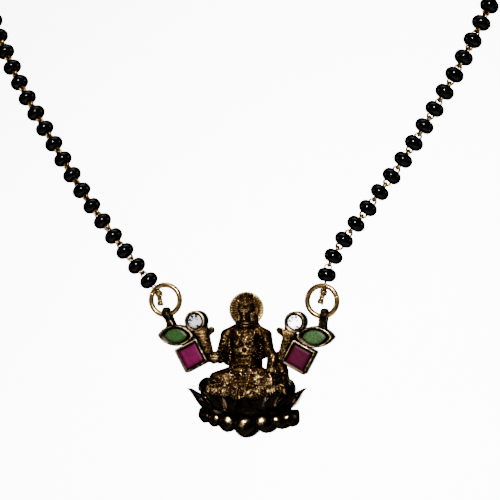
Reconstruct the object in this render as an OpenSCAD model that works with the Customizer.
// Mangalsutra worn as a short necklace. Two runs of black glass beads on linked gold wires meet at a cast
// pendant, a goddess seated on a lotus between six set stones. The pendant hangs from two jump rings.
// The origin is the nape, +X is the viewer's right, +Z is up and the front faces -Y.
// The pendant is drawn in its own frame, with its origin midway between the two jump rings.

/* [Bead runs] */
// Beads on each side
bead_count = 59; // [50:1:60]
// Bead diameter across the hole
bead_d = 3.4; // [3.3:0.05:3.6]
// Bead length along the hole
bead_len = 2.4; // [2.3:0.05:2.5]
// Wire that goes through a bead
wire_d = 0.3; // [0.24:0.02:0.32]
// Diameter of a wire eye, to the middle of the wire
eye_d = 1.16; // [1:0.02:1.2]
// Clearance between two linked eyes
link_gap = 0.1; // [0.1:0.01:0.14]
// Jump ring centre to the middle of the first bead
first_bead_reach = 4.7; // [4.6:0.05:5]

/* [Jump rings] */
// Distance between the two ring centres
ring_span = 29; // [28:0.5:30]
// Ring diameter, to the middle of the wire
ring_d = 5.4; // [5.2:0.1:5.6]
// Ring wire diameter
ring_wire_d = 0.95; // [0.8:0.05:1]
// Length of the twisted wire end inside each ring
tail_len = 2.4; // [1.5:0.1:2.6]

/* [Clasp] */
// Length of the barrel at the nape
barrel_len = 13; // [10:0.5:16]
// Barrel diameter
barrel_d = 3; // [2.6:0.1:3.6]

/* [Settings] */
// Diameter of the round settings
round_d = 3.6; // [3.5:0.1:3.8]
// Diameter of the round clear stones
round_stone_d = 2.75; // [2.5:0.05:2.8]
// Length of the pointed green settings
marquise_len = 6.5; // [6.2:0.1:6.8]
// Width of the pointed green settings
marquise_w = 3.65; // [3.4:0.05:3.8]
// Outer side of the square red settings
square_side = 4.55; // [4.3:0.05:4.7]
// Turn of the square settings
square_turn = 28; // [22:1:32]
// Metal wall round a stone
bezel_wall = 0.4; // [0.35:0.05:0.5]
// Clearance between a stone and its setting
stone_gap = 0.08; // [0.06:0.01:0.12]
// Depth of a setting from front to back
setting_depth = 3; // [2.6:0.1:3.2]
// Depth of a stone below the rim of its setting
stone_recess = 0.55; // [0.3:0.05:0.7]

/* [Pendant] */
// Halo diameter
halo_d = 6.4; // [6:0.1:6.6]
// Teeth on the halo's rim
halo_teeth = 30; // [24:2:36]
// Width across the knees
knee_span = 13.2; // [12.6:0.1:13.6]
// Width across the tips of the upper petals
petal_span = 20.6; // [19.8:0.2:21]
// Depth of the lotus from front to back
lotus_depth = 6.2; // [5.8:0.1:7]
// How far the casting stands back, so that it hangs straight
hang_back = 0.44; // [0.2:0.05:1.2]

/* [Hidden] */

// Colours as the photo shows them
GOLD = "#b8893c";
DARK_GOLD = "#8a6428";
BLACK_GLASS = "#16161a";
CLEAR_STONE = "#e6eaee";
GREEN_STONE = "#4f7d4c";
RED_STONE = "#7d1a4f";

wire_r = wire_d / 2;
eye_r = eye_d / 2;
ring_r = ring_d / 2;
ring_wire_r = ring_wire_d / 2;
// Distance between the centres of two linked eyes
link_step = 2 * eye_r - 2 * wire_r - link_gap;

// One side of the worn loop, from the jump ring to the nape, seen from midway between the rings
// Columns: half width, drift to the viewer's left, back, up
WIDE = 0;
DRIFT = 1;
BACK = 2;
UP = 3;
ROUTE = [
    [14.5, 0, 0, 0],
    [18.8, 2.4, 0, 7.6],
    [25.9, 2.8, 0.5, 17],
    [32.4, 2.7, 1.5, 26.3],
    [42.2, 3.4, 4.5, 42.5],
    [50.2, 4, 10.5, 60],
    [56.5, 4.2, 25, 79],
    [59.5, 4.4, 50, 91.5],
    [53, 5, 79, 95],
    [32, 6, 98.5, 95.5],
    [0, 6.6, 106, 96]
];
spline_steps = 24;
last = len(ROUTE) - 1;
neck_axis_back = 55;

// Route point of a row. Past the nape it goes on to the other side, and past the ring straight on.
function station(i, side) =
    i < 0 ? 2 * station(0, side) - station(1, side)
    : i > last ? station(2 * last - i, -side)
    : [side * ROUTE[i][WIDE] - ROUTE[i][DRIFT], ROUTE[i][BACK], ROUTE[i][UP]];
function blend4(a, b, c, d, t) =
    0.5 * (2 * b + (c - a) * t + (2 * a - 5 * b + 4 * c - d) * t * t + (3 * b - a - 3 * c + d) * t * t * t);
function curve(side) = [
    for (i = [0:last - 1], k = [0:spline_steps - 1])
        blend4(station(i - 1, side), station(i, side), station(i + 1, side), station(i + 2, side), k / spline_steps),
    station(last, side)
];
function lengths(points) = [
    for (i = 0, s = 0; i < len(points); s = s + norm(points[min(i + 1, len(points) - 1)] - points[i]), i = i + 1) s
];
CURVES = [curve(-1), curve(1)];
LENGTHS = [lengths(CURVES[0]), lengths(CURVES[1])];
TABLES = [for (c = [0, 1]) [for (k = [0:2]) [for (i = [0:len(CURVES[c]) - 1]) [LENGTHS[c][i], CURVES[c][i][k]]]]];
function which(side) = side < 0 ? 0 : 1;
function side_len(side) = LENGTHS[which(side)][len(LENGTHS[which(side)]) - 1];
function along(side, s) = [for (k = [0:2]) lookup(s, TABLES[which(side)][k])];

// Half the clasp, from the nape to the centre of its end eye
clasp_half = barrel_len / 2 + eye_r + 0.3;
function pitch(side) = (side_len(side) - first_bead_reach - clasp_half - link_step / 2) / (bead_count - 0.5);
function eye_z(side) = (pitch(side) - link_step) / 2;
function bead_at(side, i) = along(side, first_bead_reach + i * pitch(side));
nape = along(1, side_len(1) - clasp_half) - [clasp_half, 0, 0];

function unit(v) = v / norm(v);
// Direction of the string at a bead. The first one points straight away from its ring.
function heading(side, i) =
    i == 0 ? unit(bead_at(side, 0) - station(0, side))
    : unit(bead_at(side, i + 0.5) - bead_at(side, i - 0.5));
function outward(p) = unit([p.x, p.y - neck_axis_back, 0]);
function frame_at(p, z, x) = let (y = cross(z, x)) [
    [x.x, y.x, z.x, p.x], [x.y, y.y, z.y, p.y], [x.z, y.z, z.z, p.z], [0, 0, 0, 1]
];

// Puts its children on the string, with their Z axis along it
module on_string(side, i) {
    p = bead_at(side, i);
    z = heading(side, i);
    multmatrix(frame_at(p, z, unit(cross(outward(p), z)))) rotate([0, 0, i % 2 == 0 ? 0 : 90]) children();
}

module from_nape() translate(-nape) children();

module torus(r, wire) rotate([90, 0, 0]) rotate_extrude($fn = 48) translate([r, 0]) circle(wire, $fn = 24);

module bead(eye_at) {
    barrel_r = bead_len / 2;
    hole_r = wire_r + link_gap;
    cup_r = eye_r + wire_r + link_gap;
    difference() {
        rotate_extrude($fn = 48) intersection() {
            translate([bead_d / 2 - barrel_r, 0]) circle(barrel_r, $fn = 48);
            translate([hole_r, -bead_len]) square([bead_d, 2 * bead_len]);
        }
        for (end = [-1, 1]) translate([0, 0, end * eye_at]) sphere(cup_r, $fn = 48);
    }
}

module bead_wire(eye_at) {
    cylinder(h = 2 * (eye_at - eye_r), r = wire_r, center = true, $fn = 24);
    for (end = [-1, 1]) translate([0, 0, end * eye_at]) torus(eye_r, wire_r);
}

module beads(side) from_nape() color(BLACK_GLASS)
    for (i = [0:bead_count - 1]) on_string(side, i) bead(eye_z(side));

module bead_wires(side) from_nape() color(GOLD)
    for (i = [1:bead_count - 1]) on_string(side, i) bead_wire(eye_z(side));

// The wire of the first bead: an eye at the top, a loop round the jump ring and a twisted end inside the ring
loop_r = 0.82;
loop_wire_r = 0.17;
loop_gap = 0.12;
// The loop's inner side, where the twisted end starts, seen from the ring's centre
tail_reach = ring_r - ring_wire_r - loop_gap - loop_wire_r;
loop_out = tail_reach + loop_r;
tail_r = 0.2;
tail_turns = 6;
tail_leans = [-9, 17];

module tail() {
    cylinder(h = tail_len, r = tail_r, $fn = 24);
    for (k = [1:tail_turns]) translate([0, 0, k * tail_len / (tail_turns + 0.4)])
        rotate([75, 0, 30]) torus(tail_r + 0.02, 0.13);
}

module end_wire(side) {
    up = eye_z(side);
    loop_at = loop_out - first_bead_reach;
    from_nape() color(GOLD) {
        on_string(side, 0) {
            translate([0, 0, up]) torus(eye_r, wire_r);
            translate([0, 0, loop_at + loop_r]) cylinder(h = up - eye_r - loop_at - loop_r, r = wire_r, $fn = 24);
            translate([0, 0, loop_at]) rotate([0, 0, 90]) torus(loop_r, loop_wire_r);
        }
        translate(station(0, side) + tail_reach * heading(side, 0))
            rotate([0, 180 + tail_leans[which(side)], 0]) tail();
    }
}

module jump_ring(side) from_nape() color(GOLD) translate([side * ring_span / 2, 0, 0]) torus(ring_r, ring_wire_r);

module clasp() color(GOLD) {
    cap_len = 1.2;
    rotate([0, 90, 0]) {
        cylinder(h = barrel_len - 2 * cap_len, d = barrel_d, center = true, $fn = 32);
        for (end = [-1, 1]) translate([0, 0, end * (barrel_len - cap_len) / 2])
            cylinder(h = cap_len, d = barrel_d - 0.7, center = true, $fn = 32);
        for (end = [-1, 1]) translate([0, 0, end * clasp_half]) {
            // The eye lies across the eye of the last link
            rotate([0, 0, 90]) torus(eye_r, wire_r);
            translate([0, 0, -end * (eye_r + 0.2)]) cylinder(h = 0.5, r = 0.35, center = true, $fn = 24);
        }
    }
}

// Side settings, drawn face up with their front at the top
round_x = 9.2;
round_z = -3.75;
marquise_x = 12.75;
marquise_z = -6.35;
square_x = 9.9;
square_z = -9.95;
settings_shift = 0.6;
front = setting_depth / 2;
girdle = front - stone_recess;
stone_band = 0.08;

// Turns a piece that is drawn face up to face the front, at a place on the pendant
module facing(x, z) translate([x + settings_shift, 0, z]) rotate([90, 0, 0]) children();

// An eye-shaped outline between two arcs
module pointed_oval(length, width, sides) {
    arc_r = (length * length + width * width) / (4 * width);
    half_angle = asin(length / 2 / arc_r);
    polygon([
        for (s = [-1, 1], k = [0:sides - 1])
            let (a = half_angle * (2 * k / sides - 1))
                s * [arc_r * sin(a), arc_r * cos(a) - arc_r + width / 2]
    ]);
}

// Each setting is a solid with a pocket cut into it for its stone
module round_setting() translate([0, 0, -front]) cylinder(h = setting_depth, d = round_d, $fn = 32);
module round_pocket() {
    seat_d = round_stone_d + 2 * stone_gap;
    translate([0, 0, girdle - 0.1]) cylinder(h = 2, d = seat_d, $fn = 32);
    translate([0, 0, girdle - 1.3]) cylinder(h = 1.21, d1 = 0.6, d2 = seat_d, $fn = 32);
}

stone_len = marquise_len - 3.8 * bezel_wall;
stone_w = marquise_w - 2 * bezel_wall;
module marquise_setting() translate([0, 0, -front]) linear_extrude(setting_depth)
    pointed_oval(marquise_len, marquise_w, 12);
module marquise_pocket() translate([0, 0, girdle - 0.9]) linear_extrude(3) pointed_oval(stone_len, stone_w, 12);

square_seat = square_side - 2 * bezel_wall;
module square_setting() translate([0, 0, -front]) linear_extrude(setting_depth) offset(0.2, $fn = 16)
    square(square_side - 0.4, center = true);
module square_pocket() translate([0, 0, girdle - 0.9]) linear_extrude(3) square(square_seat, center = true);

module round_stone(side) from_nape() color(CLEAR_STONE) facing(side * round_x, round_z) hull() {
    translate([0, 0, girdle]) cylinder(h = stone_band, d = round_stone_d, $fn = 16);
    translate([0, 0, girdle + 0.46]) cylinder(h = 0.01, d = round_stone_d * 0.58, $fn = 8);
    translate([0, 0, girdle - 1.05]) cylinder(h = 0.01, d = 0.12, $fn = 8);
}

module marquise_stone(side) from_nape() color(GREEN_STONE) facing(side * marquise_x, marquise_z) {
    cut_len = stone_len - 3.4 * stone_gap;
    cut_w = stone_w - 2 * stone_gap;
    hull() {
        translate([0, 0, girdle]) linear_extrude(stone_band) pointed_oval(cut_len, cut_w, 6);
        translate([0, 0, girdle + 0.35]) linear_extrude(0.01) pointed_oval(cut_len * 0.66, cut_w * 0.6, 6);
        translate([0, 0, girdle - 0.7]) linear_extrude(0.01) pointed_oval(cut_len * 0.5, cut_w * 0.4, 6);
    }
}

module square_stone(side) from_nape() color(RED_STONE)
    facing(side * square_x, square_z) rotate(-side * square_turn) {
        cut = square_seat - 2 * stone_gap;
        hull() {
            translate([0, 0, girdle]) linear_extrude(stone_band) square(cut, center = true);
            translate([0, 0, girdle + 0.2]) linear_extrude(0.01) square(cut * 0.86, center = true);
            translate([0, 0, girdle + 0.32]) linear_extrude(0.01) square(cut * 0.72, center = true);
            translate([0, 0, girdle - 0.7]) linear_extrude(0.01) square(cut * 0.4, center = true);
        }
    }

// Loop that hangs on the jump ring and tapers down to the green setting
bail_hole_r = 0.8;
bail_wall = 0.5;
bail_w = 1.05;
bail_rise = 0.1;
// Each bail rests a little to the right of its ring's lowest point
bail_shift = [0.2, 0.45];
module bail(side) translate([side * ring_span / 2 + bail_shift[which(side)], 0, -ring_r]) difference() {
    waist = side < 0 ? 0.55 : -0.2;
    foot = side < 0 ? 0.9 : -0.75;
    union() {
        hull() {
            translate([0, 0, bail_rise]) rotate([0, 90, 0])
                cylinder(h = bail_w, r = bail_hole_r + bail_wall, center = true, $fn = 32);
            translate([waist, 0, -1.4]) cube([bail_w - 0.35, 1.5, 0.3], center = true);
        }
        hull() {
            translate([waist, 0, -1.4]) cube([bail_w - 0.35, 1.5, 0.3], center = true);
            translate([foot * 0.9, 0, -2.1]) cube([bail_w, 1.6, 0.3], center = true);
            translate([foot, 0, -2.8]) cube([bail_w + 1.1, 1.8, 0.3], center = true);
        }
    }
    translate([0, 0, bail_rise]) rotate([0, 90, 0]) cylinder(h = 2 * bail_w, r = bail_hole_r, center = true, $fn = 32);
}

module side_metal(side) {
    facing(side * round_x, round_z) round_setting();
    facing(side * marquise_x, marquise_z) marquise_setting();
    facing(side * square_x, square_z) rotate(-side * square_turn) square_setting();
    bail(side);
    // Lotus stem from the hand up to the round setting, with a leaf that curls towards the figure
    stem_foot = [side * 6.5 + settings_shift, 0, -10.4];
    stem_top = [side * 7.9 + settings_shift, 0, -6.2];
    limb(stem_foot, 0.75, stem_top, 1.05, 10);
    limb(stem_top, 1.1, [side * 8.3 + settings_shift, 0, -4.9], 1.25, 10);
    limb([side * 7.1 + settings_shift, -0.2, -5.9], 0.65, [side * 6.1 + settings_shift, -0.3, -5.3], 0.42, 8);
    // Solder that joins the green setting to its two neighbours
    limb([side * 9 + settings_shift, 0.4, -5.5], 0.8, [side * 10 + settings_shift, 0.4, -6.4], 0.6, 8);
    limb([side * 10.9 + settings_shift, 0.5, -7.5], 0.6, [side * 11 + settings_shift, 0.5, -8.5], 0.6, 8);
}

module side_settings(side) difference() {
    side_metal(side);
    facing(side * round_x, round_z) round_pocket();
    facing(side * marquise_x, marquise_z) marquise_pocket();
    facing(side * square_x, square_z) rotate(-side * square_turn) square_pocket();
}

// Soft forms of the casting
module blob(p, r, sides = 14) translate(p) scale(r) sphere(1, $fn = sides);
module limb(a, ra, b, rb, sides = 12) hull() {
    translate(a) sphere(ra, $fn = sides);
    translate(b) sphere(rb, $fn = sides);
}

halo_z = -1.65;
module halo() translate([-0.25, 1.7, halo_z]) rotate([90, 0, 0]) {
    halo_r = halo_d / 2;
    linear_extrude(0.9) polygon([
        for (k = [0:2 * halo_teeth - 1])
            (k % 2 == 0 ? halo_r : halo_r - 0.18) * [cos(180 * k / halo_teeth), sin(180 * k / halo_teeth)]
    ]);
    translate([0, 0, 0.9]) rotate_extrude($fn = 24) translate([halo_r - 0.6, 0]) circle(0.3, $fn = 6);
}

module head() {
    blob([0, -0.9, -2.3], [1.15, 1.25, 1.45], 16);
    limb([0, -2.1, -2.15], 0.16, [0, -2.2, -2.55], 0.2, 8);
    // Neck, and hair down to the shoulders
    limb([0, -0.3, -5.2], 1, [0, -0.6, -3.6], 0.75);
    hull() {
        blob([0, 0.4, -2], [1.7, 1.2, 1.9]);
        blob([0, 0.6, -4.4], [2.1, 1.1, 0.8]);
    }
    for (s = [-1, 1]) limb([s * 1.35, -0.7, -2.4], 0.3, [s * 1.4, -0.8, -3.3], 0.42, 8);
    // Crown
    translate([0, -0.5, -1.3]) {
        cylinder(h = 0.5, r = 1.4, $fn = 16);
        translate([0, 0, 0.5]) cylinder(h = 1, r1 = 1.25, r2 = 1, $fn = 16);
        translate([0, 0, 1.5]) cylinder(h = 0.9, r1 = 0.9, r2 = 0.5, $fn = 12);
    }
    blob([0, -0.5, 1.25], [0.34, 0.34, 0.4], 8);
}

module torso() {
    hull() {
        blob([0, 0.1, -6.4], [3.2, 1.9, 1.8], 16);
        blob([0, 0, -10.6], [2.7, 1.8, 1.6], 16);
    }
    hull() for (s = [-1, 1]) blob([s * 1.1, -1.2, -7.5], [1.3, 1, 1.2]);
    // Crossed edges of the shawl
    for (s = [-1, 1]) limb([s * 2, -1, -5.3], 0.4, [s * 0.3, -2.1, -7.7], 0.35, 8);
    hull() {
        blob([0, -0.5, -11.2], [2.6, 1.6, 1]);
        blob([0, -0.1, -12.9], [3.6, 2, 0.9]);
        blob([0, -1, -14.2], [1.6, 1.6, 0.8], 10);
    }
    // Necklace, belt and the bead line down the front
    translate([0, -0.1, -5.2]) rotate([-50, 0, 0]) rotate_extrude($fn = 20) translate([1.75, 0]) circle(0.3, $fn = 6);
    translate([0, -0.1, -10.7]) scale([1.32, 0.98, 1]) rotate_extrude($fn = 20) translate([2, 0]) circle(0.32, $fn = 6);
    limb([0, -1.7, -5.6], 0.28, [0, -2.1, -10.6], 0.4, 8);
}

module arms() {
    for (s = [-1, 1]) {
        // Shawl from the neck over the shoulder
        limb([s * 1.8, 0.3, -4.9], 0.9, [s * 3.6, 0.2, -6.2], 1.15);
        // Upper arm
        limb([s * 3.6, 0.1, -6.3], 1.15, [s * 4.4, -0.3, -9.3], 1);
    }
    // Forearm on the viewer's left, with the hand round the stem
    limb([-4.2, -0.4, -9.9], 1.15, [-5.7, -0.9, -10.3], 0.8);
    blob([-6.4, -0.9, -10.2], [0.65, 0.8, 0.95], 10);
    // Forearm on the viewer's right, down to the hand on the knee
    limb([4.6, -0.4, -9.3], 0.95, [5.5, -0.6, -10.1], 0.85);
    limb([5.3, -0.6, -10.2], 0.85, [5, -1.9, -12.8], 0.68);
    hull() {
        blob([5, -2.2, -13.2], [0.7, 0.55, 0.6], 10);
        blob([5, -3.2, -14.8], [0.65, 0.35, 0.6], 10);
    }
    // Drape that hangs from the elbow to the knee
    limb([5.9, 0.2, -10.6], 0.7, [6.6, 0, -13.2], 0.9);
}

module legs() {
    knee = knee_span / 2 - 1.3;
    for (s = [-1, 1]) {
        limb([s * 2, -0.2, -13.1], 1.6, [s * knee, -0.9, -14], 1.3);
        limb([s * knee, -1.3, -14.3], 1.15, [-s * 1.4, -2.6, -15.3], 0.9);
        limb([-s * 1.4, -2.7, -15], 0.75, [-s * 3.4, -2.7, -14.7], 0.55, 8);
    }
    // Cushion under the legs, with the scalloped hem of the sari round it
    translate([0, 0.4, -17.6]) scale([1, 0.56, 1]) cylinder(h = 2.6, r1 = 7.7, r2 = 7, $fn = 32);
    for (a = [-75:15:75])
        blob([7.3 * sin(a), 0.4 - 4.1 * cos(a), -16.4 - 0.7 * cos(a)], [0.95, 0.6, 0.9], 8);
    // Pleated end of the sari below the feet
    for (k = [-1:1]) limb([k * 0.6, -3.2, -15.4], 0.4, [k * 1.3, -3.9, -17.3], 0.6, 8);
}

// Lotus forms go round the front of an oval, from their angle, half width of the oval and height
lotus_centre_back = 0.9;
lobe_depth = 2.2;
lotus_squash = (lotus_depth - 1.8) / 8.6;
function round_lotus(a, wide, z) = [wide * sin(a), lotus_centre_back - lotus_squash * wide * cos(a), z];
module petal(a, width, foot, tip) hull() {
    turn = atan2(lotus_squash * sin(a), cos(a));
    translate(round_lotus(a, 6.8, foot)) rotate(turn) scale([width * 0.3, 0.6, 0.5]) sphere(1, $fn = 8);
    translate(round_lotus(a, 8.5, foot + 1.5)) rotate(turn) scale([width / 2, 0.6, 1.1]) sphere(1, $fn = 10);
    translate(round_lotus(a, petal_span / 2 - 0.2, tip)) rotate([-90, 0, 0]) cylinder(h = 1.6, r = 0.2, $fn = 6);
}
module lobe(a, width, bottom) translate([0.25, 0, 0]) hull() {
    translate(round_lotus(a, 6.6, -20)) sphere(width * 0.36, $fn = 8);
    for (back = [0, lobe_depth]) translate(round_lotus(a, 8, bottom + width * 0.5) + [0, back, 0])
        scale([width * 0.53, width * 0.42, width * 0.47]) sphere(1, $fn = 10);
    translate(round_lotus(a, 7.9, bottom + 0.15)) rotate([-90, 0, 0]) cylinder(h = lobe_depth, r = 0.15, $fn = 6);
}

// Angle and tip height of each upper petal on one side
PETALS = [[30, -17.1], [53, -16.5], [82, -15.9]];
// Angle, width and lowest point of each drooping lobe on one side
LOBES = [[24, 3, -23.4], [47, 2.8, -22.55], [74, 2.4, -21.65]];
module lotus() {
    hull() {
        translate([0, lotus_centre_back, -17.4]) scale([1, 0.56, 1]) cylinder(h = 0.2, r = 8.2, $fn = 32);
        translate([0.3, lotus_centre_back, -21.4]) scale([1, 0.5, 1]) cylinder(h = 0.2, r = 7, $fn = 32);
    }
    petal(0, 4.9, -19.9, -17.7);
    lobe(0, 3.9, -24.3);
    for (s = [-1, 1]) {
        for (row = PETALS) petal(s * row[0], 4, -19.3, row[1]);
        for (row = LOBES) lobe(s * row[0], row[1], row[2]);
        // Back petal behind the knee
        blob([s * 7.4, 0.8, -15.7], [1.6, 1, 1.8]);
    }
}

// The figure and lotus stand a little to the right of the middle of the rings
figure_shift = 0.45;
back_plane = 2;
module pendant_casting() from_nape() color(DARK_GOLD) {
    for (side = [-1, 1]) side_settings(side);
    translate([figure_shift, hang_back, 0]) difference() {
        union() {
            halo();
            head();
            torso();
            arms();
            legs();
            lotus();
        }
        translate([-20, back_plane, -30]) cube([40, 10, 40]);
    }
}

beads(-1);  // beads_left
beads(1);  // beads_right
bead_wires(-1);  // bead_wires_left
bead_wires(1);  // bead_wires_right
end_wire(-1);  // end_wire_left
end_wire(1);  // end_wire_right
jump_ring(-1);  // jump_ring_left
jump_ring(1);  // jump_ring_right
clasp();
pendant_casting();
round_stone(-1);  // round_stone_left
round_stone(1);  // round_stone_right
marquise_stone(-1);  // marquise_stone_left
marquise_stone(1);  // marquise_stone_right
square_stone(-1);  // square_stone_left
square_stone(1);  // square_stone_right
